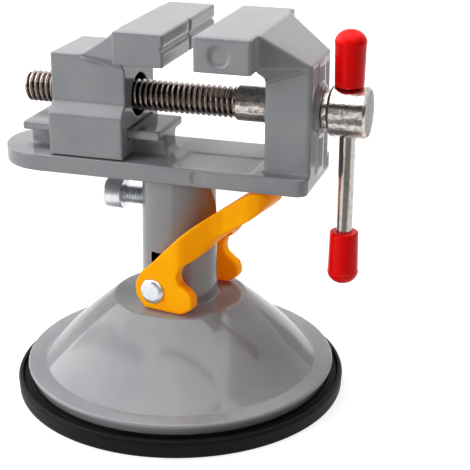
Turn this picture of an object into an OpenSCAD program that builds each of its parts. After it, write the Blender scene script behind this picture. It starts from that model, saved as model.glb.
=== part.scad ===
// Suction base vise: a small swivelling bench vise on a lever-locked suction cup.
// Millimetres, +Z up, origin in the middle of the cup's face on the bench,
// +X toward the fixed jaw and the screw's handle, -Y toward the front.

/* [Suction base] */
// outside diameter of the rubber cup
cup_d = 109.6; // [104:0.2:132]
// thickness of the rubber cup at its edge
cup_t = 5.8; // [5:0.1:6.4]
// height of the cast rim above the rubber
rim_t = 3.9; // [3:0.1:4.6]
// height of the flat on the dome that the lever's feet stand over
flat_z = 31.7; // [30:0.1:31.8]
// wall of the cast dome
dome_wall = 3.4; // [2.6:0.1:4.2]

/* [Post] */
// diameter of the post at its foot
post_d = 25; // [23.5:0.1:25.6]
// taper of the post from foot to top, on the diameter
post_taper = 1.2; // [0:0.1:1.6]
// height of the underside of the vise's plate above the bench
head_z = 75; // [75:0.5:95]
// turn of the base under the head as it is shown
base_yaw = -10.7; // [-180:0.1:180]
// width of the slots that the lever's pin rides in
slot_w = 7.7; // [6.8:0.1:8.4]
// top of those slots above the bench
slot_top = 49.6; // [49.6:0.1:51]
// diameter of the spigot that the head swivels on
spigot_d = 15; // [14.4:0.1:18]
// diameter of the stud that pulls the cup up
stud_d = 14; // [12.5:0.1:14.2]

/* [Locking lever] */
// height of the lever's pin above the bench, lever released
pin_z = 38.55; // [38.55:0.05:38.8]
// diameter of the pin
pin_d = 6; // [5:0.1:6.4]
// gap between the two arms of the lever
arm_gap = 27; // [26.6:0.1:28]
// thickness of each arm
arm_t = 4.1; // [3.4:0.1:4.6]
// half the width of the handle
grip_w = 9.5; // [7:0.1:11]
// height that a full swing of the lever lifts the cup's middle
lift = 7.8; // [6.6:0.1:7.8]
// full swing of the lever, in degrees
swing = 60; // [58:0.5:62]

/* [Clamping screw] */
// thread diameter of the screw that locks the swivel
clamp_d = 6; // [5:0.5:6]
// height of its axis above the bench
clamp_z = 64.4; // [63:0.1:66]
// distance from the post's axis to the underside of its head
clamp_reach = 18.9; // [16:0.1:26]
// its direction about the post as it is shown, from the left of the head
clamp_yaw = -0.5; // [-20:0.1:20]

/* [Head] */
// width of the plate
plate_w = 33.5; // [32:0.1:40]
// thickness of the plate
plate_t = 5.65; // [5.2:0.05:7]
// length of the plate from its round end to the fixed jaw's back
plate_l = 105; // [104:0.5:120]
// width of the T-shaped rail
rail_w = 21.8; // [20:0.1:26.2]
// thickness of the rail's upper flange
rail_t = 2.85; // [2.4:0.05:3]
// width of the rail's stem
stem_w = 9.8; // [8:0.1:10]

/* [Jaws] */
// width of both jaws
jaw_w = 50; // [40:0.5:60]
// height of the jaw bars
jaw_h = 10.75; // [9:0.05:11]
// how much lower the moving jaw's bar is, at its top and at its bottom together
moving_less = 0.65; // [0:0.05:1.5]
// thickness of the fixed jaw's bar
fixed_t = 17.6; // [14:0.05:18]
// thickness of the moving jaw's bar
moving_t = 16; // [14:0.1:18]
// opening between the jaws as shown
opening = 9.35; // [8:0.05:12]
// height of the top of the jaws above the plate's underside
jaw_top = 49.1; // [48:0.1:52]
// running clearance of the sliding jaw on its rail
slide_gap = 0.3; // [0.2:0.05:0.4]

/* [Screw and handle] */
// diameter of the lead screw's thread
screw_d = 10; // [9:0.1:10.4]
// diameter of its plain part in the fixed jaw
shank_d = 11.1; // [10.6:0.1:11.6]
// height of the lead screw above the plate's underside
screw_h = 23.5; // [23:0.1:25]
// diameter of the screw's drum-shaped head
drum_d = 15.9; // [14:0.1:17]
// diameter of the sliding handle bar
bar_d = 5; // [4.2:0.1:5.6]
// length of the handle bar over its caps
bar_l = 81.6; // [76:0.2:90]
// length of each cap
cap_l = 17.4; // [15:0.1:20]
// running clearance of round parts, on the radius
fit = 0.06; // [0.03:0.01:0.1]

/* [Hidden] */
$fn = 96;

// colours seen on the object
grey = [0.56, 0.57, 0.59];
steel = [0.75, 0.74, 0.72];
orange = [1.0, 0.62, 0.02];
red = [0.86, 0.03, 0.02];
black = [0.09, 0.09, 0.10];

// heights
rim_z = cup_t;
ledge_z = rim_z + rim_t;
plate_z = head_z + plate_t;
screw_z = head_z + screw_h;
jaw_z = head_z + jaw_top;
jaw_low = jaw_z - jaw_h;

// radii of the base
rim_r = cup_d / 2 - 3;
dome_r = rim_r - 7.2;
shoulder_r = 21.8;
post_r = post_d / 2;
post_top_r = post_r - post_taper / 2;
spigot_r = spigot_d / 2;
stud_r = stud_d / 2;
stud_top = 45.4;
stud_low = 12;
bore_step = 54;

// insert and lock nut under the stud
insert_r = 15;
insert_t = 2;
cup_gap = 0.1;
link_d = 8;
nut_af = 13;
nut_z = cup_t + 0.1;
nut_h = 5.9;

// lever's pin
arm_in = arm_gap / 2;
arm_out = arm_in + arm_t;
pin_head_r = 4.3;
pin_head_t = 1.4;
pin_washer_r = 4.8;
foot_z = pin_z - 6.5;

// clamping screw and the groove it bears in
clamp_head_d = 10;
clamp_head_l = 6.1;
groove_r = spigot_r - 1.2;
clamp_tip = groove_r + 0.1;

// places along the head
right_x = 46.2;
left_x = right_x - plate_l;
round_r = plate_w / 2;
column_x = 31.7;
column_w = 24;
flare_bar = 17.9;
flare_foot = 12.1;
fixed_x = 31.1 - fixed_t;
gap_x = fixed_x - opening;
jaw_x = gap_x - moving_t;
block_right = -12.95;
block_left = -37.6;
block_w = 25.6;
shoe_w = 32.6;
block_top = head_z + 38.1;
moving_z = jaw_z - moving_less / 2;
moving_low = jaw_low + moving_less / 2;
rail_left = -49.3;
rail_right = -2.6;
rail_z = head_z + 14.5;
rail_low = rail_z - rail_t;
web_low = jaw_low - 0.85;
flare_z = jaw_low + 0.75;
step_deep = 0.4;
rib_t = 0.35;

// screw
screw_left = -51.2;
thread_end = 17.8;
shank_x = 20.4;
boss_x = right_x + 1.15;
boss_r = 7.8;
washer_r = 6.3;
washer_t = 2.1;
drum_x = boss_x + washer_t + 0.12;
drum_end = 61.4;
bar_x = 54.9;
inner_t = 0.8;
clip_t = 0.8;
clip_x = column_x - inner_t - 0.1 - clip_t;
nut_od = 13.8;
nut_l = 12.6;
seat_d = nut_od + 0.04;

// handle caps
cap_small_r = 4.5;
cap_large_r = 4.92;
cap_dome = 4.1;
upper_cap_z = screw_z + drum_d / 2 + 0.06;
bar_top = upper_cap_z + cap_l;
bar_low = bar_top - bar_l;

// a point on the cam: the foot's edge that presses straight down when the lever
// has swung by a, so the cup's middle rises evenly with the swing
rise = lift / (swing * PI / 180);
function cam_down(a) = pin_z - foot_z + 0.22 + rise * a * PI / 180;
function cam_point(a) = [
    cam_down(a) * sin(a) + rise * cos(a),
    pin_z - cam_down(a) * cos(a) + rise * sin(a)
];

// quarter arc of points round c, from angle a to angle b
function arc(c, r, a, b, n = 6) =
    [for (i = [0:n]) c + r * [cos(a + (b - a) * i / n), sin(a + (b - a) * i / n)]];

// outside of the dome: a cone with a slight bulge, rounded over at its shoulder
dome_foot = [dome_r, ledge_z + 0.7];
dome_top = [shoulder_r + 2.4, flat_z - 1.9];
dome_bulge = 0.5;
function dome_at(t) = dome_foot + t * (dome_top - dome_foot)
    + 4 * dome_bulge * t * (1 - t) * [0.68, 0.73];

module yawed() {
    rotate([0, 0, base_yaw]) children();
}

// the clamping screw's direction within the turned base
module clamp_turned() {
    rotate([0, 0, clamp_yaw - base_yaw]) children();
}

// a bar of section pts in X and Z, drawn from y0 to y1
module side_bar(pts, y0, y1) {
    translate([0, y1, 0]) rotate([90, 0, 0]) linear_extrude(height = y1 - y0) polygon(pts);
}

// a round bar along X
module x_rod(x0, x1, r) {
    translate([x0, 0, screw_z]) rotate([0, 90, 0]) cylinder(r = r, h = x1 - x0);
}

// a round bar along X with its ends of two radii
module x_cone(x0, x1, r0, r1) {
    translate([x0, 0, screw_z]) rotate([0, 90, 0]) cylinder(r1 = r0, r2 = r1, h = x1 - x0);
}

// ---- suction base ----

module base_profile() {
    polygon(concat(
        [[rim_r - 5.2, rim_z], [rim_r - 1.6, rim_z], [rim_r - 0.1, ledge_z - 0.7]],
        arc([rim_r - 0.7, ledge_z - 0.6], 0.6, 10, 90, 4),
        [[dome_r + 1.2, ledge_z + 0.1]],
        [for (t = [0:0.1:1]) dome_at(t)],
        [[shoulder_r + 0.9, flat_z - 0.9], [shoulder_r - 0.8, flat_z - 0.3],
            [shoulder_r - 3, flat_z], [post_r + 1.3, flat_z + 0.05],
            [post_r + 0.4, flat_z + 0.5], [post_r, flat_z + 1.4]],
        [[post_top_r, head_z - 0.8], [post_top_r - 0.5, head_z - 0.02],
            [spigot_r + fit, head_z - 0.02]],
        [[spigot_r + fit, bore_step], [stud_r + fit, bore_step]],
        [[stud_r + fit, flat_z - dome_wall], [shoulder_r - 5, flat_z - dome_wall - 0.4]],
        [[shoulder_r - 2, flat_z - dome_wall - 2.4]],
        [dome_foot + [-dome_wall - 1, -dome_wall + 1.4]],
        [[rim_r - 8.6, rim_z + 1.4], [rim_r - 5.2, rim_z + 1]]
    ));
}

module base_casting() {
    color(grey) yawed() difference() {
        rotate_extrude() base_profile();
        translate([-slot_w / 2, -post_d, pin_z - slot_w / 2])
            cube([slot_w, 2 * post_d, slot_top - pin_z + slot_w / 2]);
        clamp_turned() translate([0, 0, clamp_z]) rotate([0, -90, 0])
            cylinder(d = clamp_d + 2 * fit, h = post_d);
    }
}

module suction_cup() {
    color(black) yawed() rotate_extrude() polygon([
        [0, 0], [cup_d / 2 - 0.9, 0], [cup_d / 2 - 0.25, 0.7], [cup_d / 2, cup_t - 1.2],
        [cup_d / 2 - 0.2, cup_t - 0.4], [cup_d / 2 - 0.8, cup_t], [rim_r - 6, cup_t],
        [rim_r - 9, cup_t - 2.2], [insert_r + 6, cup_t - 2.2], [insert_r + 3, cup_t],
        [insert_r + cup_gap, cup_t], [insert_r + cup_gap, cup_t - insert_t - 0.02],
        [0, cup_t - insert_t - 0.02]
    ]);
}

module cup_insert() {
    color(steel) {
        translate([0, 0, cup_t - insert_t]) cylinder(r = insert_r, h = insert_t);
        translate([0, 0, cup_t - 0.5]) cylinder(d = link_d, h = stud_low + 6 - cup_t);
    }
}

module lock_nut() {
    color(steel) translate([0, 0, nut_z]) difference() {
        cylinder(d = nut_af / cos(30), h = nut_h, $fn = 6);
        translate([0, 0, -1]) cylinder(d = link_d + 0.04, h = nut_h + 2);
    }
}

module pull_stud() {
    color(steel) yawed() difference() {
        union() {
            translate([0, 0, stud_low]) cylinder(r = stud_r, h = stud_top - stud_low - 1);
            translate([0, 0, stud_top - 1]) cylinder(r1 = stud_r, r2 = stud_r - 1, h = 1);
        }
        translate([0, 0, stud_low - 1]) cylinder(d = link_d + 0.04, h = 8);
        translate([0, 0, pin_z]) rotate([90, 0, 0])
            cylinder(d = pin_d + 0.04, h = 2 * stud_d, center = true);
    }
}

// ---- locking lever ----

module lever_pin() {
    color(steel) yawed() translate([0, -arm_out - 0.1, pin_z]) rotate([-90, 0, 0]) {
        cylinder(d = pin_d, h = 2 * arm_out + 2.2);
        rotate([180, 0, 0]) cylinder(r = pin_head_r, h = pin_head_t - 0.6);
        translate([0, 0, -pin_head_t]) cylinder(r1 = pin_head_r - 0.9, r2 = pin_head_r, h = 0.6);
    }
}

module pin_washer() {
    color(steel) yawed() translate([0, arm_out + 0.1, pin_z]) rotate([-90, 0, 0])
        difference() {
            cylinder(r = pin_washer_r, h = 1);
            translate([0, 0, -1]) cylinder(d = pin_d + 0.04, h = 3);
        }
}

// side of each arm: foot with its cam, toe and notch
lever_arm = concat(
    [[-3.4, foot_z], [8.9, foot_z]],
    [for (a = [15:5:45]) cam_point(a)],
    [[14.4, 36.2], [14.2, 38.4], [13.6, 39.6], [11.2, 41.2], [9.7, 42.2], [8.9, 43.6], [8.8, 45.2],
        [9.4, 47.2], [9.4, 58.4], [4.1, 52.9], [-0.4, 48.2], [-4.6, 44.3]],
    arc([0, pin_z], 6.8, 140, 232, 8)
);
// side of the handle, from the arms up to its tip
lever_grip = [
    [9.4, 47.2], [10.6, 48.7], [13.1, 50.2], [16, 52.9], [17.7, 55.2],
    [18.5, 57.3], [21.7, 59.2], [25.7, 61.9], [30, 64.9], [33, 67.6],
    [34.8, 70], [34.9, 72.2], [33.6, 73.9], [31.2, 74.2],
    [27.5, 72.1], [23.7, 69.4], [19.1, 66.3], [15, 63.2], [12.4, 61.1], [9.4, 58.4]
];
// half of the lever seen from above, where the arms draw in to the handle
lever_wide = [
    [9.4, arm_out], [11, arm_out - 0.8], [18, grip_w + 1.6],
    [21, grip_w], [30, grip_w], [33, grip_w - 1.2], [34.6, grip_w - 3.4],
    [35.2, grip_w - 6]
];
lever_inner = [
    [9.4, arm_in], [11.5, arm_in - 0.9], [15.2, grip_w - 1.5],
    [16.8, grip_w - 5], [17.2, 2]
];
groove_w = 5.6;
groove_deep = 2;
function mirrored(p) = [for (i = [len(p) - 1:-1:0]) [p[i][0], -p[i][1]]];

module cam_lever() {
    color(orange) yawed() difference() {
        union() {
            side_bar(lever_arm, arm_in, arm_out);
            side_bar(lever_arm, -arm_out, -arm_in);
            intersection() {
                side_bar(lever_grip, -arm_out - 1, arm_out + 1);
                linear_extrude(height = head_z)
                    polygon(concat(lever_wide, mirrored(lever_wide)));
            }
        }
        linear_extrude(height = head_z) polygon(concat(
            [[-12, arm_in]], lever_inner, mirrored(lever_inner), [[-12, -arm_in]]));
        translate([0, 0, pin_z]) rotate([90, 0, 0])
            cylinder(d = pin_d + 2 * fit, h = 3 * arm_out, center = true);
        for (y = [-grip_w / 2 + 0.2, grip_w / 2 - 0.2])
            translate([17, y, 64.9]) rotate([0, -35.2, 0])
                translate([3, -groove_w / 2, -groove_deep]) cube([13.5, groove_w, 5]);
    }
}

// ---- clamping screw ----

module clamp_screw() {
    color(steel) yawed() clamp_turned() translate([0, 0, clamp_z]) rotate([0, -90, 0]) difference() {
        union() {
            translate([0, 0, clamp_tip + 1]) cylinder(d = clamp_d, h = clamp_reach - clamp_tip - 1);
            translate([0, 0, clamp_tip]) cylinder(d1 = clamp_d - 2, d2 = clamp_d, h = 1);
            translate([0, 0, clamp_reach]) cylinder(d = clamp_head_d, h = clamp_head_l);
        }
        translate([0, 0, clamp_reach + clamp_head_l - 3])
            cylinder(d = 5 / cos(30), h = 4, $fn = 6);
    }
}

// ---- head ----

module plate_outline() {
    translate([left_x + round_r, 0]) circle(r = round_r);
    translate([left_x + round_r, -round_r]) square([right_x - left_x - round_r - 3, plate_w]);
    translate([right_x - 4, -round_r + 3]) square([4, plate_w - 6]);
    for (y = [-round_r + 3, round_r - 3]) translate([right_x - 3, y]) circle(r = 3);
}

// shallow step in the plate's top, front half only, between rail and column
module step_outline() {
    translate([rail_right + 6, -round_r + 1.6]) square([23, round_r - 0.4]);
    translate([rail_right + 6, -round_r + 4.1]) square([25.5, round_r - 2.9]);
    translate([rail_right + 29, -round_r + 4.1]) circle(r = 2.5);
}

// all that lies inside the front edge of a jaw's web, which flares from foot_x toward
// its bar at bar_x, and above the chamfer that leads back in from that edge at level
module flare_side(foot_x, bar_x, level) {
    reach = 4 * jaw_w;
    translate([foot_x, -flare_foot, 0])
        rotate([0, 0, atan((flare_bar - flare_foot) / (foot_x - bar_x))])
            translate([-reach / 2, 0, 0]) rotate([90, 0, 90]) linear_extrude(height = reach)
                polygon([[0, level], [0, jaw_z + 5], [jaw_w, jaw_z + 5], [jaw_w, level - jaw_w]]);
}

module flared(foot_x, bar_x, level) {
    intersection() {
        children();
        flare_side(foot_x, bar_x, level);
        mirror([0, 1, 0]) flare_side(foot_x, bar_x, level);
    }
}

module fixed_jaw() {
    side_bar([[column_x, plate_z - 1], [right_x, plate_z - 1],
        [right_x, flare_z], [column_x, flare_z]], -column_w / 2, column_w / 2);
    flared(right_x, column_x, flare_z)
        side_bar([[column_x, jaw_low - 6], [right_x, jaw_low - 6], [right_x, jaw_low + 1.05],
            [column_x - 0.1, jaw_z], [column_x - 1.6, jaw_z - 1],
            [column_x - 1.6, jaw_low - 0.6], [column_x, jaw_low - 3]], -jaw_w, jaw_w);
    // low rib down the column's outer face
    side_bar([[right_x - 1, plate_z - 2], [right_x + rib_t, plate_z - 2],
        [right_x + rib_t, jaw_low], [right_x - 1, jaw_low + 1]], -4.2, 4.2);
    side_bar([[fixed_x, jaw_low], [column_x - 0.6, jaw_low],
        [column_x - 0.6, jaw_z], [fixed_x, jaw_z]], -jaw_w / 2, jaw_w / 2);
    // step on the back of that bar, on both sides of the web
    translate([0, 0, jaw_low]) linear_extrude(height = jaw_h) polygon([
        [column_x - 2, -18.4], [column_x - 0.6, -18.4], [column_x + 0.3, -17.6],
        [column_x + 0.3, 17.6], [column_x - 0.6, 18.4], [column_x - 2, 18.4]]);
    for (s = [-1, 1]) side_bar([[column_x - 1.3, plate_z - 1], [column_x, plate_z - 1],
        [column_x, plate_z + 1.3]], s * column_w / 4 - column_w / 4, s * column_w / 4 + column_w / 4);
}

module vise_body() {
    color(grey) difference() {
        union() {
            translate([0, 0, head_z]) linear_extrude(height = plate_t) plate_outline();
            side_bar([[rail_left, plate_z - 1], [rail_right + 1.7, plate_z - 1],
                [rail_right + 1.7, plate_z], [rail_right + 0.5, plate_z + 0.5],
                [rail_right, plate_z + 1.7], [rail_right, rail_low + 1],
                [rail_left, rail_low + 1]], -stem_w / 2, stem_w / 2);
            side_bar([[rail_left, rail_low], [rail_right, rail_low],
                [rail_right, rail_z], [rail_left, rail_z]], -rail_w / 2, rail_w / 2);
            fixed_jaw();
            x_rod(right_x - 1, boss_x, boss_r);
            translate([0, 0, bore_step + 0.3])
                cylinder(r = spigot_r, h = head_z - bore_step - 0.3 + 1);
        }
        translate([0, 0, plate_z - step_deep]) linear_extrude(height = step_deep + 1) step_outline();
        x_rod(column_x - 3, boss_x + 1, shank_d / 2 + fit);
        translate([0, 0, clamp_z - clamp_d / 2 - 0.6]) difference() {
            cylinder(r = spigot_r + 2, h = clamp_d + 1.2);
            translate([0, 0, -1]) cylinder(r = groove_r, h = clamp_d + 3.2);
        }
        translate([12, -round_r + 0.4, head_z + plate_t / 2]) rotate([90, 0, 0]) cylinder(r = 2.5, h = 1);
        for (s = [-1, 1]) translate([21.4, s * (jaw_w / 2 - 0.8), jaw_z - jaw_h / 2 - 0.4])
            rotate([90 * s, 0, 0]) translate([0, 0, -1]) cylinder(r = 3.2, h = 1);
    }
}

// ---- moving jaw ----

module moving_jaw() {
    shoe_z = plate_z + 0.45;
    slope_z = shoe_z + 13.3;
    color(grey) difference() {
        union() {
            side_bar([[block_left, slope_z + 1], [block_right, slope_z + 1],
                [block_right, web_low - 3.9], [block_left + 9.5, web_low - 0.2],
                [block_left + 9.5, block_top], [block_left, block_top]],
                -block_w / 2, block_w / 2);
            flared(block_left + 9.5, jaw_x, block_top)
                side_bar([[block_left, slope_z + 1], [block_right, slope_z + 1],
                    [block_right, jaw_low + 2], [jaw_x + 2, jaw_low + 2], [jaw_x + 2, moving_z],
                    [jaw_x, moving_z - 0.1], [-17.5, moving_z - 4.3], [-27.4, block_top],
                    [block_left, block_top]], -jaw_w, jaw_w);
            side_bar([[jaw_x, moving_low], [gap_x, moving_low], [gap_x, moving_z], [jaw_x, moving_z]],
                -jaw_w / 2, jaw_w / 2);
            translate([block_left, 0, 0]) rotate([90, 0, 90])
                linear_extrude(height = block_right - block_left) polygon([
                    [-shoe_w / 2, shoe_z], [shoe_w / 2, shoe_z], [shoe_w / 2, slope_z],
                    [block_w / 2, slope_z + 3.6], [-block_w / 2, slope_z + 3.6],
                    [-shoe_w / 2, slope_z]]);
        }
        // T-slot over the rail
        translate([block_left - 1, -rail_w / 2 - slide_gap, rail_low - slide_gap])
            cube([block_right - block_left + 2, rail_w + 2 * slide_gap, rail_t + 2 * slide_gap]);
        translate([block_left - 1, -stem_w / 2 - slide_gap, shoe_z - 1])
            cube([block_right - block_left + 2, stem_w + 2 * slide_gap, rail_low - shoe_z + 1.5]);
        x_rod(block_left - 1, block_right + 1, seat_d / 2);
        // grooves in the gripping face
        side_bar([[gap_x + 1, jaw_z - 6.4], [gap_x - 1.1, jaw_z - 5], [gap_x + 1, jaw_z - 3.6]],
            -jaw_w, jaw_w);
        translate([0, 0, jaw_low - 1]) linear_extrude(height = jaw_h + 2)
            polygon([[gap_x + 1, -1.4], [gap_x - 1.1, 0], [gap_x + 1, 1.4]]);
    }
}

module jaw_nut() {
    color(steel) difference() {
        x_rod(block_left + 0.4, block_left + 0.4 + nut_l, nut_od / 2);
        x_rod(block_left - 1, block_left + nut_l + 2, screw_d / 2 + fit);
    }
}

// ---- screw and handle ----

module lead_screw() {
    color(steel) difference() {
        union() {
            x_cone(screw_left, screw_left + 1, screw_d / 2 - 1, screw_d / 2);
            x_rod(screw_left + 1, thread_end, screw_d / 2);
            x_cone(thread_end, shank_x, screw_d / 2, shank_d / 2);
            x_rod(shank_x, clip_x - 0.05, shank_d / 2);
            x_rod(clip_x - 0.05, clip_x + clip_t + 0.05, shank_d / 2 - clip_t);
            x_rod(clip_x + clip_t + 0.05, drum_x + 1, shank_d / 2);
            x_cone(drum_x, drum_x + 0.7, drum_d / 2 - 0.7, drum_d / 2);
            x_rod(drum_x + 0.7, drum_end - 0.7, drum_d / 2);
            x_cone(drum_end - 0.7, drum_end, drum_d / 2, drum_d / 2 - 0.7);
        }
        translate([bar_x, 0, screw_z - drum_d]) cylinder(d = bar_d + 2 * fit, h = 2 * drum_d);
    }
}

module thin_washer(x0, x1, r) {
    difference() {
        x_rod(x0, x1, r);
        x_rod(x0 - 1, x1 + 1, shank_d / 2 + 0.02);
    }
}

module outer_washer() {
    color(steel) thin_washer(boss_x + 0.06, boss_x + 0.06 + washer_t, washer_r);
}

module inner_washer() {
    color(steel) thin_washer(column_x - inner_t - 0.05, column_x - 0.05, washer_r + 1);
}

module retaining_clip() {
    color(steel) difference() {
        x_rod(clip_x, clip_x + clip_t, washer_r + 0.7);
        x_rod(clip_x - 1, clip_x + clip_t + 1, shank_d / 2 - clip_t + 0.02);
        translate([clip_x - 1, -3.4, screw_z - 12]) cube([clip_t + 2, 6.8, 12]);
    }
}

module handle_bar() {
    color(steel) translate([bar_x, 0, bar_low + 3]) cylinder(d = bar_d, h = bar_l - 6);
}

// a grip cap standing on its open end
module grip_cap() {
    difference() {
        union() {
            cylinder(r1 = cap_small_r - 0.5, r2 = cap_small_r, h = 0.6);
            translate([0, 0, 0.6])
                cylinder(r1 = cap_small_r, r2 = cap_large_r, h = cap_l - cap_dome - 0.6);
            translate([0, 0, cap_l - cap_dome]) rotate_extrude() polygon(concat(
                [[0, 0]],
                [for (a = [0:15:75]) [cap_large_r * cos(a), cap_dome * sin(a)]],
                [[0, cap_dome]]));
        }
        translate([0, 0, -1]) cylinder(d = bar_d + 0.04, h = cap_l - 1.98);
    }
}

module upper_cap() {
    color(red) translate([bar_x, 0, upper_cap_z]) grip_cap();
}

module lower_cap() {
    color(red) translate([bar_x, 0, bar_low + cap_l]) rotate([180, 0, 0]) grip_cap();
}

base_casting();
suction_cup();
cup_insert();
pull_stud();
lock_nut();
lever_pin();
pin_washer();
cam_lever();
clamp_screw();
vise_body();
moving_jaw();
jaw_nut();
lead_screw();
outer_washer();
inner_washer();
retaining_clip();
handle_bar();
upper_cap();
lower_cap();
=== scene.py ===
import math
import bmesh
import bpy
from mathutils import Matrix, Vector, noise


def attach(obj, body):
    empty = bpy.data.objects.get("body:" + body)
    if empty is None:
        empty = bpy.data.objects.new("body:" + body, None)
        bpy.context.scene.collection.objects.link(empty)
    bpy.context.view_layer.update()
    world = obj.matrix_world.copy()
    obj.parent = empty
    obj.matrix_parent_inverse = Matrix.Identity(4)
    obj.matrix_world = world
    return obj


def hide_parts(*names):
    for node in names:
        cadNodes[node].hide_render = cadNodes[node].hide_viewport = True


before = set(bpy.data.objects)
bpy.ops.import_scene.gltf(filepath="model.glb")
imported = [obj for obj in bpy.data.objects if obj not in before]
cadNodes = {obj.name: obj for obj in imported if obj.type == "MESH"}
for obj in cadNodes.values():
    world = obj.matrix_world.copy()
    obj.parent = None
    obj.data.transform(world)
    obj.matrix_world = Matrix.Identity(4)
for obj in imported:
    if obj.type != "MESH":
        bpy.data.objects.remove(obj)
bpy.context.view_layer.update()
mm = 0.001
collection = bpy.context.scene.collection
print("frame loaded:", len(cadNodes), "nodes")


# rounds the corners of an outline; each point is (x, y) or (x, y, fillet radius)
def roundCorners(points, steps=5):
    rounded = []
    for i, point in enumerate(points):
        corner = Vector(point[:2])
        if len(point) < 3 or i in (0, len(points) - 1):
            rounded.append(tuple(corner))
            continue
        back = Vector(points[i - 1][:2]) - corner
        ahead = Vector(points[i + 1][:2]) - corner
        half = back.angle(ahead) / 2
        cut = min(point[2] / math.tan(half), back.length * 0.49, ahead.length * 0.49)
        radius = cut * math.tan(half)
        middle = (back.normalized() + ahead.normalized()).normalized()
        centre = corner + middle * radius / math.sin(half)
        start = corner + back.normalized() * cut - centre
        end = corner + ahead.normalized() * cut - centre
        first = math.atan2(start.y, start.x)
        turn = (math.atan2(end.y, end.x) - first + math.pi) % (2 * math.pi) - math.pi
        for k in range(steps + 1):
            a = first + turn * k / steps
            rounded.append((centre.x + radius * math.cos(a), centre.y + radius * math.sin(a)))
    return rounded


# spins (radius, height) points in millimetres about Z
def addLathe(bm, points, sides=128):
    rings = []
    for radius, height in points:
        rings.append([
            bm.verts.new((
                radius * mm * math.cos(2 * math.pi * i / sides),
                radius * mm * math.sin(2 * math.pi * i / sides),
                height * mm,
            ))
            for i in range(sides)
        ])
    for low, high in zip(rings, rings[1:]):
        for i in range(sides):
            j = (i + 1) % sides
            bm.faces.new((low[i], low[j], high[j], high[i]))


# a right-hand thread along Z; its rows follow the helix, so the crest stays crisp
def addThread(bm, thread, limit, low, high, sides):
    pitch, root, crest = thread["pitch"], thread["rootRadius"], thread["crestRadius"]
    flank = (root + crest) / 2
    shoulder = crest - 0.08
    # one tooth: how far along the pitch, and the radius there
    tooth = [(0, root), (0.1, root), (0.24, flank), (0.4, shoulder),
             (0.5, crest), (0.6, shoulder), (0.76, flank), (0.9, root)]
    turns = int((high - low) / pitch) + 4
    rows = []
    for k in range(turns):
        for share, radius in tooth:
            row = []
            for i in range(sides):
                z = low + pitch * (k - 2 + share + i / sides)
                z = min(max(z, low), high)
                r = limit(z, radius)
                a = 2 * math.pi * i / sides
                row.append(bm.verts.new((r * mm * math.cos(a), r * mm * math.sin(a), z * mm)))
            rows.append(row)
    for j in range(len(rows) - 1 - len(tooth)):
        for i in range(sides):
            if i < sides - 1:
                right, rightUp = rows[j][i + 1], rows[j + 1][i + 1]
            else:
                right, rightUp = rows[j + len(tooth)][0], rows[j + 1 + len(tooth)][0]
            bm.faces.new((rows[j][i], right, rightUp, rows[j + 1][i]))


# turns a bmesh into a shown piece; edges sharper than the angle stay crisp
def makePiece(name, bm, place=Matrix.Identity(4), sharp=40):
    bmesh.ops.remove_doubles(bm, verts=bm.verts, dist=0.5e-6)
    loose = [v for v in bm.verts if not v.link_faces]
    bmesh.ops.delete(bm, geom=loose, context="VERTS")
    bmesh.ops.recalc_face_normals(bm, faces=bm.faces)
    bm.transform(place)
    mesh = bpy.data.meshes.new(name)
    bm.to_mesh(mesh)
    bm.free()
    mesh.shade_smooth()
    mesh.set_sharp_from_angle(angle=math.radians(sharp))
    piece = bpy.data.objects.new(name, mesh)
    collection.objects.link(piece)
    return piece


# puts a piece's modifiers into its mesh
def settle(piece, sharp=None):
    graph = bpy.context.evaluated_depsgraph_get()
    mesh = bpy.data.meshes.new_from_object(piece.evaluated_get(graph))
    piece.modifiers.clear()
    piece.data = mesh
    if sharp:
        mesh.shade_smooth()
        mesh.set_sharp_from_angle(angle=math.radians(sharp))


# cuts one piece out of another and drops the slivers without area that this leaves
def cutWith(piece, cutter):
    step = piece.modifiers.new("cut", "BOOLEAN")
    step.operation = "DIFFERENCE"
    step.solver = "EXACT"
    step.object = cutter
    settle(piece)
    bpy.data.objects.remove(cutter)
    bm = bmesh.new()
    bm.from_mesh(piece.data)
    bmesh.ops.dissolve_degenerate(bm, dist=1e-6, edges=bm.edges)
    bm.to_mesh(piece.data)
    bm.free()


# a die-cast or moulded body: the frame's shape with every edge and corner rounded over;
# grid is the mesh's step in millimetres, softening the number of smoothing passes
def castFrom(name, node, cast):
    bm = bmesh.new()
    bm.from_mesh(cadNodes[node].data)
    piece = makePiece(name, bm)
    grid = piece.modifiers.new("grid", "REMESH")
    grid.mode = "VOXEL"
    grid.voxel_size = cast["grid"] * mm
    grid.use_smooth_shade = True
    soften = piece.modifiers.new("soften", "SMOOTH")
    soften.factor = 0.5
    soften.iterations = cast["softening"]
    settle(piece)
    piece.data.shade_smooth()
    return piece


# lays something built along Z along X instead
def alongX(x, z):
    return Matrix.Translation((x * mm, 0, z * mm)) @ Matrix.Rotation(math.pi / 2, 4, "Y")


# an sRGB hex colour as the linear one that shaders take
def linearColour(hexText):
    parts = [int(hexText[i:i + 2], 16) / 255 for i in (1, 3, 5)]
    return [c / 12.92 if c <= 0.04045 else ((c + 0.055) / 1.055) ** 2.4 for c in parts] + [1]


# adds a shader node with its settings and its links
def addNode(tree, kind, settings={}, links={}):
    node = tree.nodes.new("ShaderNode" + kind)
    for key, value in settings.items():
        if isinstance(key, str) and hasattr(node, key):
            setattr(node, key, value)
        else:
            node.inputs[key].default_value = value
    for key, socket in links.items():
        tree.links.new(socket, node.inputs[key])
    return node


def startMaterial(name):
    material = bpy.data.materials.new(name)
    material.use_nodes = True
    tree = material.node_tree
    tree.nodes.clear()
    output = addNode(tree, "OutputMaterial")
    place = addNode(tree, "TexCoord").outputs["Object"]
    return material, tree, output, place


# a pattern's scale from the real size of one mark, in millimetres
def perMark(size):
    return 1 / (size * mm)


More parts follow.
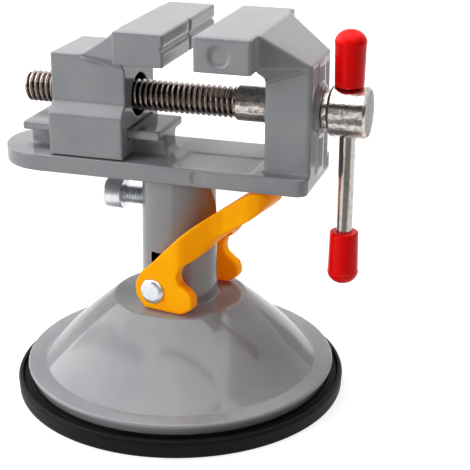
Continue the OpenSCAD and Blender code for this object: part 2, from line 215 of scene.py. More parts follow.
# a mottled surface: noise with marks of the given size, and a colour that blends with it
# from one shade to another; each shade comes with the height at which it is reached
def mottle(tree, place, size, detail, *shades):
    marks = addNode(tree, "TexNoise", {"Scale": perMark(size), "Detail": detail}, {"Vector": place})
    ramp = addNode(tree, "ValToRGB", links={"Fac": marks.outputs["Fac"]})
    for stop, (hexText, height) in zip(ramp.color_ramp.elements, shades):
        stop.color = linearColour(hexText)
        stop.position = height
    return marks.outputs["Fac"], ramp.outputs["Color"]


# 1 for what the camera sees directly, in a reflection or through something, else 0
def seenByCamera(tree):
    path = addNode(tree, "LightPath")
    seen = addNode(tree, "Math", {"operation": "MAXIMUM"},
                   {0: path.outputs["Is Camera Ray"], 1: path.outputs["Is Glossy Ray"]})
    seenOrThrough = addNode(tree, "Math", {"operation": "MAXIMUM"},
                            {0: seen.outputs[0], 1: path.outputs["Is Transmission Ray"]})
    return seenOrThrough.outputs[0]


def giveMaterial(material, *pieces):
    for piece in pieces:
        piece.data.materials.clear()
        piece.data.materials.append(material)


# a second material on the faces whose middle passes the test
def paintInside(piece, material, test):
    piece.data.materials.append(material)
    for face in piece.data.polygons:
        if test(face.center):
            face.material_index = 1


# place and lens in millimetres, angles in degrees
camera = {
    "place": (133.19, -371.92, 203.57),
    "azimuth": 17.07,
    "pitch": 21.01,
    "roll": -0.27,
    "lens": 98.52,
    "sensor": 36,
    "near": 10,
}


def makeCamera():
    azimuth, pitch = math.radians(camera["azimuth"]), math.radians(camera["pitch"])
    ahead = Vector((-math.sin(azimuth) * math.cos(pitch), math.cos(azimuth) * math.cos(pitch),
                    -math.sin(pitch)))
    aim = ahead.to_track_quat("-Z", "Y") @ Matrix.Rotation(
        -math.radians(camera["roll"]), 3, "Z").to_quaternion()
    data = bpy.data.cameras.new("camera")
    data.sensor_width = camera["sensor"]
    data.lens = camera["lens"]
    data.clip_start = camera["near"] * mm
    eye = bpy.data.objects.new("camera", data)
    eye.location = Vector(camera["place"]) * mm
    eye.rotation_mode = "QUATERNION"
    eye.rotation_quaternion = aim
    collection.objects.link(eye)
    bpy.context.scene.camera = eye


makeCamera()
print("camera set")


# sprayed enamel over a zinc die casting: glossy enough to show the soft boxes as
# pale patches with soft borders, with a faint orange peel and slow waves of the casting below
def sprayedEnamel():
    enamel = {"colour": "#989a9d", "thick": "#929397", "patch": 14, "peel": 0.9, "wave": 9}
    material, tree, output, place = startMaterial("sprayed_enamel_on_zinc_casting")
    patches, colour = mottle(tree, place, enamel["patch"], 2,
                             (enamel["thick"], 0.35), (enamel["colour"], 0.6))
    peel = addNode(tree, "TexNoise", {"Scale": perMark(enamel["peel"]), "Detail": 1}, {"Vector": place})
    wave = addNode(tree, "TexNoise", {"Scale": perMark(enamel["wave"]), "Detail": 0}, {"Vector": place})
    waves = addNode(tree, "Bump", {"Strength": 0.35, "Distance": 0.12 * mm}, {"Height": wave.outputs["Fac"]})
    skin = addNode(tree, "Bump", {"Strength": 0.25, "Distance": 0.01 * mm},
                   {"Height": peel.outputs["Fac"], "Normal": waves.outputs["Normal"]})
    gloss = addNode(tree, "MapRange", {"To Min": 0.08, "To Max": 0.13}, {"Value": patches})
    paint = addNode(tree, "BsdfPrincipled", {"IOR": 1.5},
                    {"Base Color": colour, "Roughness": gloss.outputs["Result"],
                     "Normal": skin.outputs["Normal"]})
    tree.links.new(paint.outputs[0], output.inputs[0])
    return material


# moulded nitrile rubber: near black and matt, with a fine tooth and a little bench dust
def mouldedRubber():
    rubber = {"colour": "#08080a", "dust": "#121215", "tooth": 0.35, "patch": 6}
    material, tree, output, place = startMaterial("moulded_nitrile_rubber")
    colour = mottle(tree, place, rubber["patch"], 5, (rubber["colour"], 0.45), (rubber["dust"], 0.85))[1]
    tooth = addNode(tree, "TexNoise", {"Scale": perMark(rubber["tooth"]), "Detail": 2}, {"Vector": place})
    skin = addNode(tree, "Bump", {"Strength": 0.5, "Distance": 0.04 * mm}, {"Height": tooth.outputs["Fac"]})
    body = addNode(tree, "BsdfPrincipled", {"IOR": 1.52, "Roughness": 0.55, "Specular IOR Level": 0.12},
                   {"Base Color": colour, "Normal": skin.outputs["Normal"]})
    tree.links.new(body.outputs[0], output.inputs[0])
    return material


# a turned steel part: fine rings round its axis break up the reflections, and blotches
# where the plating lies thicker make them mottled. Rings are drawn 0.3 to 0.4 mm apart,
# coarser than the tool left them, so that they show
def turnedSteel(name, finish):
    material, tree, output, place = startMaterial(name)
    blotch, surface = mottle(tree, place, finish["blotch"], 3, (finish["dull"], 0.3), (finish["colour"], 0.6))
    stretch = addNode(tree, "Mapping", {"Scale": [perMark(s) for s in finish["rings"]]}, {"Vector": place})
    rings = addNode(tree, "TexNoise", {"Scale": 1, "Detail": 2}, {"Vector": stretch.outputs["Vector"]})
    turned = addNode(tree, "Bump", {"Strength": finish["ringDepth"], "Distance": 0.02 * mm},
                     {"Height": rings.outputs["Fac"]})
    pitted = addNode(tree, "Bump", {"Strength": finish["pitDepth"], "Distance": 0.2 * mm},
                     {"Height": blotch, "Normal": turned.outputs["Normal"]})
    rough = addNode(tree, "MapRange", {"To Min": finish["rough"] + 0.08, "To Max": finish["rough"] - 0.05},
                    {"Value": blotch})
    # a dark brown painted shade fills the thread's roots: it fades out towards the crest with the distance
    # from the screw's axis
    if "paintedRootShade" in finish:
        paintedRootShade = finish["paintedRootShade"]
        axis = (0, 0, paintedRootShade["height"] * mm)
        fromAxis = addNode(tree, "VectorMath", {"operation": "SUBTRACT", 1: axis}, {0: place})
        across = addNode(tree, "VectorMath", {"operation": "MULTIPLY", 1: (0, 1, 1)},
                         {0: fromAxis.outputs["Vector"]})
        reach = addNode(tree, "VectorMath", {"operation": "LENGTH"}, {0: across.outputs["Vector"]})
        unshaded = addNode(tree, "MapRange", {"From Min": paintedRootShade["root"] * mm, "From Max": paintedRootShade["crest"] * mm},
                        {"Value": reach.outputs["Value"]})
        surface = addNode(tree, "Mix", {"data_type": "RGBA", 6: linearColour(paintedRootShade["colour"])},
                          {0: unshaded.outputs["Result"], 7: surface}).outputs[2]
    metal = addNode(tree, "BsdfPrincipled", {"Metallic": 1.0},
                    {"Base Color": surface, "Roughness": rough.outputs["Result"],
                     "Normal": pitted.outputs["Normal"]})
    tree.links.new(metal.outputs[0], output.inputs[0])
    return material


# injection-moulded polypropylene: light sinks in and comes out redder; an orange-red emission
# is painted light that makes the whole part glow and lifts its shade; the skin is smooth with faint flow
# marks
def mouldedPolypropylene():
    plastic = {"colour": "#ffc800", "deep": "#ffbe00", "flow": 7, "skin": 0.8,
               "glow": "#ff3a00", "paintedGlowLevel": 0.27, "sinks": 1.6}
    material, tree, output, place = startMaterial("moulded_polypropylene")
    colour = mottle(tree, place, plastic["flow"], 2, (plastic["deep"], 0.35), (plastic["colour"], 0.6))[1]
    skin = addNode(tree, "TexNoise", {"Scale": perMark(plastic["skin"]), "Detail": 1}, {"Vector": place})
    bump = addNode(tree, "Bump", {"Strength": 0.3, "Distance": 0.02 * mm}, {"Height": skin.outputs["Fac"]})
    body = addNode(tree, "BsdfPrincipled",
                   {"IOR": 1.49, "Roughness": 0.4, "Specular IOR Level": 0.08, "Subsurface Weight": 0.3,
                    "Subsurface Radius": (1.0, 0.3, 0.04), "Subsurface Scale": plastic["sinks"] * mm,
                    # painted light: this emission makes the plastic glow red-orange everywhere, in light and
                    # shade alike
                    "Emission Color": linearColour(plastic["glow"]),
                    "Emission Strength": plastic["paintedGlowLevel"]},
                   {"Base Color": colour, "Normal": bump.outputs["Normal"]})
    tree.links.new(body.outputs[0], output.inputs[0])
    return material


# dipped vinyl: a thick soft red skin, smooth and glossy, slightly uneven where it ran
def dippedVinyl():
    vinyl = {"colour": "#ff0200", "thin": "#ff0301", "run": 5}
    material, tree, output, place = startMaterial("dipped_vinyl")
    run, colour = mottle(tree, place, vinyl["run"], 1, (vinyl["colour"], 0.35), (vinyl["thin"], 0.7))
    bump = addNode(tree, "Bump", {"Strength": 0.4, "Distance": 0.08 * mm}, {"Height": run})
    body = addNode(tree, "BsdfPrincipled", {"IOR": 1.53, "Roughness": 0.25, "Specular IOR Level": 0.13},
                   {"Base Color": colour, "Normal": bump.outputs["Normal"]})
    tree.links.new(body.outputs[0], output.inputs[0])
    return material


enamelCoat = sprayedEnamel()
rubberSkin = mouldedRubber()
orangePlastic = mouldedPolypropylene()
redVinyl = dippedVinyl()
# nickel plate: warm white metal; the marks are in millimetres
nickelFinish = {"colour": "#d4cdc7", "dull": "#a49d98", "blotch": 1.5, "rings": (0.3, 30, 30),
                "ringDepth": 0.15, "pitDepth": 0.5, "rough": 0.16}
nickelPlate = turnedSteel("nickel_plated_turned_steel", nickelFinish)
# the thread's copy carries painted shade: a dark brown tint in the roots of the thread
nickelWithRootShade = turnedSteel("nickel_plated_thread_with_painted_root_shade", nickelFinish | {
    "colour": "#d8cac1", "paintedRootShade": {"colour": "#4a3c35", "height": 98.5, "root": 4.1, "crest": 4.75}})
# the bar was drawn, not turned: its fine marks run along it
nickelBar = turnedSteel("nickel_plated_drawn_bar", nickelFinish | {
    "colour": "#beb8b2", "dull": "#aaa49e", "rings": (0.4, 0.4, 30), "pitDepth": 0.02})
# bright zinc plate: cooler and whiter, a little duller
zincFinish = {"colour": "#e0e2e5", "dull": "#d0d3d8", "blotch": 1.6, "rings": (0.4, 30, 30),
              "ringDepth": 0.1, "pitDepth": 0.025, "rough": 0.3}
zincPlate = turnedSteel("zinc_plated_steel", zincFinish)
# near-black steel, used as painted shade: on bores and slot walls that lie in deep shadow, and on the pull
# stud seen through the slot
shadeBlackFinish = {"colour": "#1d1d1f", "dull": "#131315", "blotch": 1.2, "rings": (30, 30, 0.3),
                  "ringDepth": 0.3, "pitDepth": 0.05, "rough": 0.4}
shadeBlackSteel = turnedSteel("painted_shade_black_steel", shadeBlackFinish)
# bare turned steel: greyer than the platings
plainFinish = {"colour": "#9c9b99", "dull": "#838280", "blotch": 1.2, "rings": (0.3, 30, 30),
               "ringDepth": 0.3, "pitDepth": 0.05, "rough": 0.32}
plainSteel = turnedSteel("turned_steel", plainFinish)
print("materials made")


baseCasting = {
    "rimRadius": 51.8, "rimLow": 5.8, "ledge": 9.7,
    "domeRadius": 44.6, "bulge": 0.5, "outward": (0.68, 0.73), "wall": 3.4,
    "flat": 31.7, "shoulderRadius": 21.8,
    "postRadius": 12.5, "postTopRadius": 11.9, "postTop": 74.98,
    "boreRadius": 7.56, "boreLow": 28, "studBore": 7.06, "boreStep": 54,
    "slotWide": 7.7, "slotLow": 34.7, "slotTop": 49.6, "slotRound": 0.5, "edgeRound": 0.25,
    "clampHole": 3.06, "clampHeight": 64.4, "drillLong": 20,
    "yaw": -10.7, "clampYaw": -0.5,
}
baseTurn = Matrix.Rotation(math.radians(baseCasting["yaw"]), 4, "Z")
clampTurn = Matrix.Rotation(math.radians(baseCasting["clampYaw"]), 4, "Z")


# the dome's slope is a straight line that swells a little outward in its middle
def domePoints(foot, top, count=14):
    points = []
    for k in range(count + 1):
        t = k / count
        swell = 4 * baseCasting["bulge"] * t * (1 - t)
        points.append(tuple(foot[i] + t * (top[i] - foot[i]) + baseCasting["outward"][i] * swell
                            for i in range(2)))
    return points


def makeBaseCasting():
    b = baseCasting
    wall = b["wall"]
    foot = (b["domeRadius"], b["ledge"] + 0.7)
    top = (b["shoulderRadius"] + 2.4, b["flat"] - 1.9)
    dome = domePoints(foot, top)
    # the slope's first points give way to the fillet at its foot
    outside = roundCorners([
        (b["rimRadius"] - 5.2, b["rimLow"]), (b["rimRadius"] - 1.6, b["rimLow"], 0.3),
        (b["rimRadius"], b["ledge"], 0.9), (foot[0] + 0.8, b["ledge"] + 0.05, 0.9),
        dome[2],
    ]) + dome[3:-1] + roundCorners([
        dome[-1], (b["shoulderRadius"], b["flat"], 1.2), (b["postRadius"], b["flat"] + 0.05, 0.7),
        (b["postTopRadius"], b["postTop"], 1.0), (b["boreRadius"], b["postTop"]),
    ], 8)
    inside = [
        (b["boreRadius"], b["boreStep"]), (b["studBore"], b["boreStep"]), (b["studBore"], b["boreLow"]),
        (b["shoulderRadius"] - 3, b["boreLow"] - 1), (b["domeRadius"] - wall - 1, b["ledge"] - wall + 2.1),
        (b["rimRadius"] - 8.6, b["rimLow"] + 1.4), (b["rimRadius"] - 5.2, b["rimLow"]),
    ]
    bm = bmesh.new()
    addLathe(bm, outside + inside, 192)
    piece = makePiece("base_casting_enamelled", bm)
    # the slot for the lever's pin goes right through the post
    slot = bmesh.new()
    bmesh.ops.create_cube(slot, size=mm)
    middle = (b["slotLow"] + b["slotTop"]) / 2
    slot.transform(Matrix.Translation((0, 0, middle * mm))
                   @ Matrix.Diagonal((b["slotWide"], 3 * b["postRadius"], b["slotTop"] - b["slotLow"], 1)))
    bmesh.ops.bevel(slot, geom=[e for e in slot.edges if abs((e.verts[0].co - e.verts[1].co).y) > mm],
                    offset=b["slotRound"] * mm, segments=3, affect="EDGES", profile=0.5)
    cutWith(piece, makePiece("slot_cutter", slot))
    # the clamping screw's hole goes in from the left only
    hole = bmesh.new()
    radius, long = b["clampHole"], b["drillLong"]
    addLathe(hole, [(0, 0), (radius, 0), (radius, long), (0, long)], 48)
    turn = clampTurn @ baseTurn.inverted()
    cutWith(piece, makePiece("hole_cutter", hole, turn @ Matrix.Translation((0, 0, b["clampHeight"] * mm))
                             @ Matrix.Rotation(-math.pi / 2, 4, "Y")))
    edge = piece.modifiers.new("edge", "BEVEL")
    edge.width = b["edgeRound"] * mm
    edge.segments = 2
    edge.limit_method = "ANGLE"
    edge.angle_limit = math.radians(50)
    settle(piece, 45)
    piece.data.transform(baseTurn)
    giveMaterial(enamelCoat, piece)
    # painted shade: the post's bore and the walls of its slot are coloured near black instead of enamel
    paintInside(piece, shadeBlackSteel, lambda at: at.z > (b["flat"] + 1) * mm
                and math.hypot(at.x, at.y) < (b["postTopRadius"] - 0.7) * mm)
    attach(piece, "base")
    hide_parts("base_casting")


def makeRubberCup():
    cup = {"radius": 54.8, "thick": 5.8, "grooves": (44.5, 48.0), "grooveDeep": 0.5, "trenchDeep": 1.6,
           "hollowDeep": 2.2, "seat": 15.1, "seatDeep": 2.0}
    r, t = cup["radius"], cup["thick"]
    trench, hollow, seat = t - cup["trenchDeep"], t - cup["hollowDeep"], t - cup["seatDeep"]
    # the gripping face has a flat rim, two sealing grooves and a slight hollow within
    face = [(0, 0.9), (30, 0.7, 6), (42, 0)]
    for ring in cup["grooves"]:
        deep = cup["grooveDeep"]
        face += [(ring, 0), (ring + 0.3, deep), (ring + 0.9, deep), (ring + 1.2, 0)]
    side = [(r - 0.5, 0, 0.5), (r - 0.25, 0.7, 0.3), (r, t - 1.2, 0.8), (r - 0.5, t, 0.6)]
    # on top a trench runs round the casting's rim, and inside lie a hollow and the insert's seat
    upper = [(r - 1.5, t, 0.3), (r - 1.9, trench, 0.4), (r - 4.4, trench, 0.4), (r - 4.7, t, 0.1),
             (46, t, 0.3), (42.8, hollow, 0.3), (21, hollow, 0.3), (18, t, 0.3),
             (cup["seat"], t, 0.2), (cup["seat"], seat), (0, seat)]
    bm = bmesh.new()
    addLathe(bm, roundCorners(face + side + upper), 192)
    piece = makePiece("rubber_cup", bm, baseTurn)
    giveMaterial(rubberSkin, piece)
    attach(piece, "base")
    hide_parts("suction_cup")


makeBaseCasting()
makeRubberCup()
print("suction base made")


lever = {"grid": 0.4, "softening": 16, "pinHeight": 38.55, "armOut": 17.6, "sideGap": 0.1}


def makeLever():
    piece = castFrom("cam_lever_moulded", "cam_lever", lever)
    giveMaterial(orangePlastic, piece)
    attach(piece, "lever")
    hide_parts("cam_lever")


# the pin's head is closed by hammering, which leaves it domed and faceted
def makePin():
    pin = {"radius": 3.0, "headRadius": 4.3, "headThick": 1.38, "length": 37.3,
           "facets": 7, "facetTurn": 0.3, "flatness": 0.25, "dent": 0.2, "dentsPerMm": 0.5}
    reach = lever["armOut"] + lever["sideGap"]
    bm = bmesh.new()
    addLathe(bm, roundCorners([
        (0, -pin["headThick"]), (pin["headRadius"] - 1.3, -pin["headThick"] + 0.1, 0.8),
        (pin["headRadius"] - 0.3, -pin["headThick"] + 0.6, 0.5), (pin["headRadius"], -0.3, 0.2),
        (pin["headRadius"] - 0.2, 0, 0.1), (pin["radius"], 0), (pin["radius"], pin["length"] - 0.4),
        (pin["radius"] - 0.4, pin["length"]), (0, pin["length"])]), 72)
    for vert in bm.verts:
        if vert.co.z < -0.05 * mm:
            angle = math.atan2(vert.co.y, vert.co.x)
            step = 2 * math.pi / pin["facets"]
            off = (angle + pin["facetTurn"]) % step - step / 2
            chord = math.cos(step / 2) / math.cos(off)
            shrink = 1 - pin["flatness"] + pin["flatness"] * chord
            dent = noise.noise(vert.co / mm * pin["dentsPerMm"]) * pin["dent"] * mm
            vert.co.x *= shrink
            vert.co.y *= shrink
            vert.co.z += max(dent, 0)
    place = (baseTurn @ Matrix.Translation((0, -reach * mm, lever["pinHeight"] * mm))
             @ Matrix.Rotation(-math.pi / 2, 4, "X"))
    piece = makePiece("lever_pin_peened", bm, place, 30)
    giveMaterial(zincPlate, piece)
    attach(piece, "stud")
    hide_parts("lever_pin")


def makePinWasher():
    washer = {"inner": 3.02, "outer": 4.8, "thick": 1.0}
    bm = bmesh.new()
    addLathe(bm, roundCorners([
        (washer["inner"], 0), (washer["outer"], 0, 0.25), (washer["outer"], washer["thick"], 0.25),
        (washer["inner"], washer["thick"]), (washer["inner"], 0)]), 64)
    reach = lever["armOut"] + lever["sideGap"]
    place = (baseTurn @ Matrix.Translation((0, reach * mm, lever["pinHeight"] * mm))
             @ Matrix.Rotation(-math.pi / 2, 4, "X"))
    piece = makePiece("pin_washer_plated", bm, place)
    giveMaterial(zincPlate, piece)
    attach(piece, "stud")
    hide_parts("pin_washer")


makeLever()
makePin()
makePinWasher()
print("lever made")


def makeClampScrew():
    screw = {"tip": 6.4, "tipRadius": 2.0, "reach": 18.9, "neck": 0.2, "runOut": 0.8,
             "headRadius": 5.0, "headLong": 6.1, "socket": 2.5, "socketDeep": 3.0,
             "thread": {"pitch": 1.0, "rootRadius": 2.4, "crestRadius": 3.0}}
    thread = screw["thread"]
    sides = 60
    tip, tipRadius, reach, headR = screw["tip"], screw["tipRadius"], screw["reach"], screw["headRadius"]
    headTop = reach + screw["headLong"]
    threadEnd = reach - screw["neck"]

    # the thread starts in a chamfer and runs out under the head
    def limit(z, r):
        if z < tip + 1:
            return min(r, tipRadius + (z - tip))
        return max(r, thread["crestRadius"] + (z - threadEnd) * screw["runOut"])

    bm = bmesh.new()
    addThread(bm, thread, limit, tip, threadEnd, sides)
    addLathe(bm, [(0, tip), (tipRadius, tip)], sides)
    corner = screw["socket"] / math.cos(math.pi / 6)
    chamferRadius, chamferLow = corner + 0.1, headTop - 0.4
    addLathe(bm, roundCorners([
        (thread["crestRadius"], threadEnd), (3.2, reach), (headR, reach, 0.35), (headR, headTop, 0.7),
        (corner + 0.5, headTop, 0.1), (chamferRadius, chamferLow)]), sides)
    # the hexagon socket: a round ring at the chamfer, two on a hexagon, and the drill's point
    floorHeight = headTop - screw["socketDeep"]
    rings = []
    for radius, z in ((chamferRadius, chamferLow), (None, chamferLow - 0.05), (None, floorHeight),
                      (0, floorHeight - 0.8)):
        ring = []
        for i in range(sides):
            a = 2 * math.pi * i / sides
            flat = screw["socket"] / math.cos((a + math.pi / 6) % (math.pi / 3) - math.pi / 6)
            r = flat if radius is None else radius
            ring.append(bm.verts.new((r * mm * math.cos(a), r * mm * math.sin(a), z * mm)))
        rings.append(ring)
    for low, high in zip(rings, rings[1:]):
        for i in range(sides):
            j = (i + 1) % sides
            bm.faces.new((low[i], low[j], high[j], high[i]))
    place = (clampTurn @ Matrix.Translation((0, 0, baseCasting["clampHeight"] * mm))
             @ Matrix.Rotation(-math.pi / 2, 4, "Y"))
    piece = makePiece("clamp_screw_threaded", bm, place, 35)
    giveMaterial(zincPlate, piece)
    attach(piece, "clamp")
    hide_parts("clamp_screw")


makeClampScrew()
print("clamping screw made")


leadScrew = {
    "height": 98.5,
    "left": -51.2, "leftRadius": 3.9,
    "threadEnd": 19.6, "threadEndRadius": 3.4,
    "shankStart": 20.4, "shankRadius": 5.55,
    "drumLeft": 49.57, "drumRight": 61.4, "drumRadius": 7.95, "drumEdge": 0.7,
    "barX": 54.9, "barHole": 2.56,
    "grooveLeft": 29.95, "grooveRight": 30.85, "grooveRadius": 4.75,
    "thread": {"pitch": 1.8, "rootRadius": 3.95, "crestRadius": 5.0},
}


def makeHead():
    head = {"grid": 0.45, "softening": 9}
    piece = castFrom("vise_body_enamelled", "vise_body", head)
    giveMaterial(enamelCoat, piece)
    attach(piece, "head")
    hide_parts("vise_body")


def makeMovingJaw():
    jaw = {"grid": 0.35, "softening": 9, "boreRadius": 7.1}
    piece = castFrom("moving_jaw_enamelled", "moving_jaw", jaw)
    giveMaterial(enamelCoat, piece)
    # painted shade: the bore round the thread is coloured near black
    paintInside(piece, shadeBlackSteel, lambda at: math.hypot(
        at.y, at.z - leadScrew["height"] * mm) < jaw["boreRadius"] * mm)
    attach(piece, "jaw")
    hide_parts("moving_jaw")


makeHead()
makeMovingJaw()
print("castings made")


def makeLeadScrew():
    s = leadScrew
    left, shank, shankStart = s["left"], s["shankRadius"], s["shankStart"]
    sides = 96

    # the thread starts in a chamfer and runs out where the plain shank begins
    def limit(z, r):
        start = s["leftRadius"] + (z - left)
        share = (shankStart - z) / (shankStart - s["threadEnd"])
        runOut = shank - (shank - s["threadEndRadius"]) * share
        return min(max(r, runOut), start) if z < left + 2 else max(r, runOut)

    bm = bmesh.new()
    addThread(bm, s["thread"], limit, left, shankStart, sides)
    addLathe(bm, [(0, left), (s["leftRadius"], left)], sides)
    # the shank with the clip's groove, then the drum with its chamfered edges
    drum, drumLeft, drumRight, edge = s["drumRadius"], s["drumLeft"], s["drumRight"], s["drumEdge"]
    addLathe(bm, roundCorners([
        (shank, shankStart), (shank, s["grooveLeft"]), (s["grooveRadius"], s["grooveLeft"]),
        (s["grooveRadius"], s["grooveRight"]), (shank, s["grooveRight"]), (shank, drumLeft),
        (drum - edge, drumLeft, 0.2), (drum, drumLeft + edge, 0.5), (drum, drumRight - edge, 0.25),
        (drum - edge, drumRight, 0.25), (0, drumRight)]), sides)
    piece = makePiece("lead_screw_threaded", bm, alongX(0, s["height"]), 38)
    hole = bmesh.new()
    low, high = s["height"] - 1.5 * drum, s["height"] + 1.5 * drum
    addLathe(hole, [(0, low), (s["barHole"], low), (s["barHole"], high), (0, high)], 48)
    cutWith(piece, makePiece("hole_cutter", hole, Matrix.Translation((s["barX"] * mm, 0, 0))))
    settle(piece, 38)
    giveMaterial(nickelPlate, piece)
    # the painted root shade goes on the thread only
    paintInside(piece, nickelWithRootShade, lambda at: (left + 0.3) * mm < at.x < shankStart * mm)
    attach(piece, "screw")
    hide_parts("lead_screw")


def makeCollar():
    collar = {"left": 47.5, "thick": 1.85, "inner": 5.57, "outer": 6.3}
    bm = bmesh.new()
    addLathe(bm, roundCorners([
        (collar["inner"], 0), (collar["outer"], 0, 0.3), (collar["outer"], collar["thick"], 0.3),
        (collar["inner"], collar["thick"]), (collar["inner"], 0)]), 96)
    piece = makePiece("collar_turned", bm, alongX(collar["left"], leadScrew["height"]))
    giveMaterial(nickelPlate, piece)
    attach(piece, "screw")
    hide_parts("outer_washer")


cap = {"long": 17.4, "mouthRadius": 4.5, "domeRadius": 4.92, "dome": 4.1, "boreRadius": 2.52,
       "crown": 1.5, "parting": 0.14, "upperLow": 106.51, "lowerHigh": 59.71}


# a grip cap standing on its mouth; a parting line runs round the foot of its dome
def makeCap(name, node, place):
    straight = cap["long"] - cap["dome"]
    dome = []
    for degrees in range(0, 91, 6):
        a = math.radians(degrees)
        dome.append((cap["domeRadius"] * math.cos(a), straight + cap["dome"] * math.sin(a)))
    dome[-1] = (0, cap["long"])
    bore, boreTop = cap["boreRadius"], cap["long"] - cap["crown"]
    wall = roundCorners([
        (bore, 0), (cap["mouthRadius"], 0, 0.5), (cap["domeRadius"] - cap["parting"], straight - 0.2, 0.05),
        (cap["domeRadius"], straight - 0.1, 0.05), (cap["domeRadius"], straight)])
    bm = bmesh.new()
    addLathe(bm, [(0, boreTop), (bore, boreTop), (bore, 0)] + wall + dome[1:], 96)
    piece = makePiece(name, bm, place, 50)
    giveMaterial(redVinyl, piece)
    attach(piece, "bar")
    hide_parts(node)


makeLeadScrew()
makeCollar()
barPlace = Matrix.Translation((leadScrew["barX"] * mm, 0, 0))
makeCap("upper_cap_dipped", "upper_cap", barPlace @ Matrix.Translation((0, 0, cap["upperLow"] * mm)))
makeCap("lower_cap_dipped", "lower_cap", barPlace @ Matrix.Translation((0, 0, cap["lowerHigh"] * mm))
        @ Matrix.Rotation(math.pi, 4, "X"))
giveMaterial(nickelBar, cadNodes["handle_bar"])
print("screw and handle made")


# the hidden pieces keep their CAD mesh
# the pull stud is coloured near black as painted shade for the slot it is seen through
giveMaterial(shadeBlackSteel, cadNodes["pull_stud"])
giveMaterial(plainSteel, cadNodes["cup_insert"], cadNodes["jaw_nut"], cadNodes["retaining_clip"])
giveMaterial(nickelPlate, cadNodes["inner_washer"])
giveMaterial(zincPlate, cadNodes["lock_nut"])
print("hidden pieces coloured")


# metres; each soft box is a lamp, each card is seen in reflections only
studio = {
    "floor": 3.0,
    "aim": (0, 0, 0.05),
    "world": 0.08,
    "glowNear": 0.75, "glowFar": 1.0, "nearEnds": 0.25, "farStarts": 0.6,
    "boxes": {
        "overhead": {"place": (-0.27, 0.03, 0.95), "size": (0.6, 0.6), "power": 7.6},
        "back_right": {"place": (0.5, 0.4, 0.8), "size": (0.5, 0.5), "power": 3.0},
        "left_front": {"place": (-0.7, -0.8, 0.45), "size": (0.6, 0.5), "power": 5.7},
        "right_front": {"place": (0.6, -1.0, 0.35), "size": (0.6, 0.4), "power": 0.9},
    },
    # how bright each card is, and its corners
    "cards": {
        "canopy": (2.8, [(-1.0, -0.8, 0.95), (0.70, -0.8, 0.95), (0.70, 0.5, 0.95), (-1.0, 0.5, 0.95)]),
        "left_wall": (3.2, [(-1.0, -0.8, 0.1), (-1.0, 0.5, 0.1), (-1.0, 0.5, 0.95), (-1.0, -0.8, 0.95)]),
        "canopy_gap": (0.4, [(-0.16, -0.43, 0.92), (0.55, -0.29, 0.92),
                             (0.55, -0.25, 0.92), (-0.16, -0.39, 0.92)]),
        "wall_gap": (1.6, [(-0.86, 0.42, 0.28), (-0.80, -0.17, 0.84),
                           (-0.83, -0.22, 0.80), (-0.89, 0.36, 0.23)]),
        "wall_gap_end": (1.2, [(-0.80, -0.17, 0.84), (-0.37, -0.39, 0.92),
                               (-0.40, -0.44, 0.89), (-0.83, -0.22, 0.80)]),
        "dark_card": (0.02, [(-0.9, -1.05, 0.6), (1.1, -1.05, 0.6), (1.1, -0.81, 0.95), (-0.9, -0.81, 0.95)]),
        "front_card": (0.3, [(-0.9, -1.05, 0.0), (1.1, -1.05, 0.0), (1.1, -1.05, 0.6), (-0.9, -1.05, 0.6)]),
        "floor_card": (0.3, [(-0.02, -1.0, 0.002), (0.8, -1.0, 0.002),
                             (0.8, -0.1, 0.002), (-0.02, -0.1, 0.002)]),
        "drum_card": (1.1, [(-0.18, -1.04, 0.0), (0.08, -1.04, 0.0),
                            (0.08, -1.04, 0.4), (-0.18, -1.04, 0.4)]),
        "back_card": (0.42, [(0.075, 0.18, 0.02), (0.13, 0.18, 0.02),
                             (0.13, 0.18, 0.07), (0.075, 0.18, 0.07)]),
        "right_card": (0.1, [(0.9, -0.9, 0.0), (0.9, 0.4, 0.0), (0.9, 0.4, 0.4), (0.9, -0.9, 0.4)]),
    },
}


def makeBox(name, box):
    data = bpy.data.lights.new(name, "AREA")
    data.shape = "RECTANGLE"
    data.size, data.size_y = box["size"]
    data.energy = box["power"]
    lamp = bpy.data.objects.new(name, data)
    lamp.location = box["place"]
    lamp.rotation_mode = "QUATERNION"
    lamp.rotation_quaternion = (Vector(studio["aim"]) - lamp.location).to_track_quat("-Z", "Y")
    lamp.visible_glossy = False
    collection.objects.link(lamp)


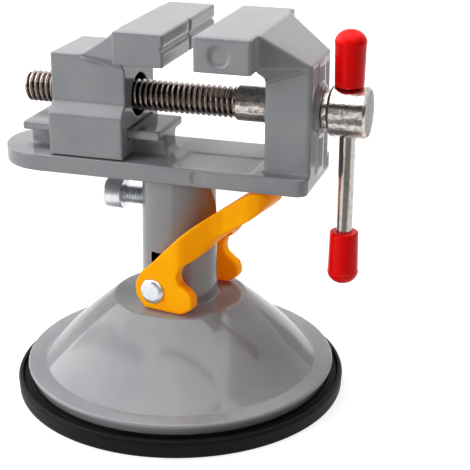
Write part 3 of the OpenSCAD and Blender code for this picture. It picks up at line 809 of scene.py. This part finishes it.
# the floor is a white paper sweep, lifted to white where no shadow falls
def makeFloor():
    half = studio["floor"] / 2
    bm = bmesh.new()
    corners = [bm.verts.new((x * half, y * half, 0)) for x, y in ((-1, -1), (1, -1), (1, 1), (-1, 1))]
    bm.faces.new(corners)
    piece = makePiece("floor", bm)
    material, tree, output, place = startMaterial("white_sweep_paper")
    paper = addNode(tree, "BsdfDiffuse", {"Color": linearColour("#b4b4b4")})
    # away from the object no shadow falls, and the glow alone makes white
    away = addNode(tree, "VectorMath", {"operation": "LENGTH"}, {0: place})
    level = addNode(tree, "MapRange",
                    {"From Min": studio["nearEnds"], "From Max": studio["farStarts"],
                     "To Min": studio["glowNear"], "To Max": studio["glowFar"]},
                    {"Value": away.outputs["Value"]})
    strength = addNode(tree, "Math", {"operation": "MULTIPLY"},
                       {0: seenByCamera(tree), 1: level.outputs["Result"]})
    glow = addNode(tree, "Emission", {"Color": linearColour("#ffffff")}, {"Strength": strength.outputs[0]})
    both = addNode(tree, "AddShader", links={0: paper.outputs[0], 1: glow.outputs[0]})
    tree.links.new(both.outputs[0], output.inputs[0])
    giveMaterial(material, piece)


# cloth and cards that only reflections see: bright ones lay pale patches on the enamel,
# dark ones give the metal its bands
def makeCards():
    for name, (brightness, corners) in studio["cards"].items():
        material, tree, output = startMaterial(name + "_cloth")[:3]
        cloth = addNode(tree, "Emission", {"Color": linearColour("#ffffff"), "Strength": brightness})
        tree.links.new(cloth.outputs[0], output.inputs[0])
        bm = bmesh.new()
        bm.faces.new([bm.verts.new(corner) for corner in corners])
        piece = makePiece(name, bm)
        piece.visible_camera = piece.visible_diffuse = False
        piece.visible_shadow = piece.visible_transmission = False
        giveMaterial(material, piece)


def makeWorld():
    world = bpy.data.worlds.new("studio")
    world.use_nodes = True
    tree = world.node_tree
    tree.nodes.clear()
    level = addNode(tree, "MapRange", {"To Min": studio["world"], "To Max": 1.0},
                    {"Value": seenByCamera(tree)})
    sky = addNode(tree, "Background", {"Color": linearColour("#ffffff")},
                  {"Strength": level.outputs["Result"]})
    addNode(tree, "OutputWorld", links={"Surface": sky.outputs[0]})
    bpy.context.scene.world = world


makeFloor()
makeCards()
makeWorld()
for boxName, softBox in studio["boxes"].items():
    makeBox(boxName + "_soft_box", softBox)
bpy.context.scene.view_settings.view_transform = "Standard"
print("studio set")

print("finishing")
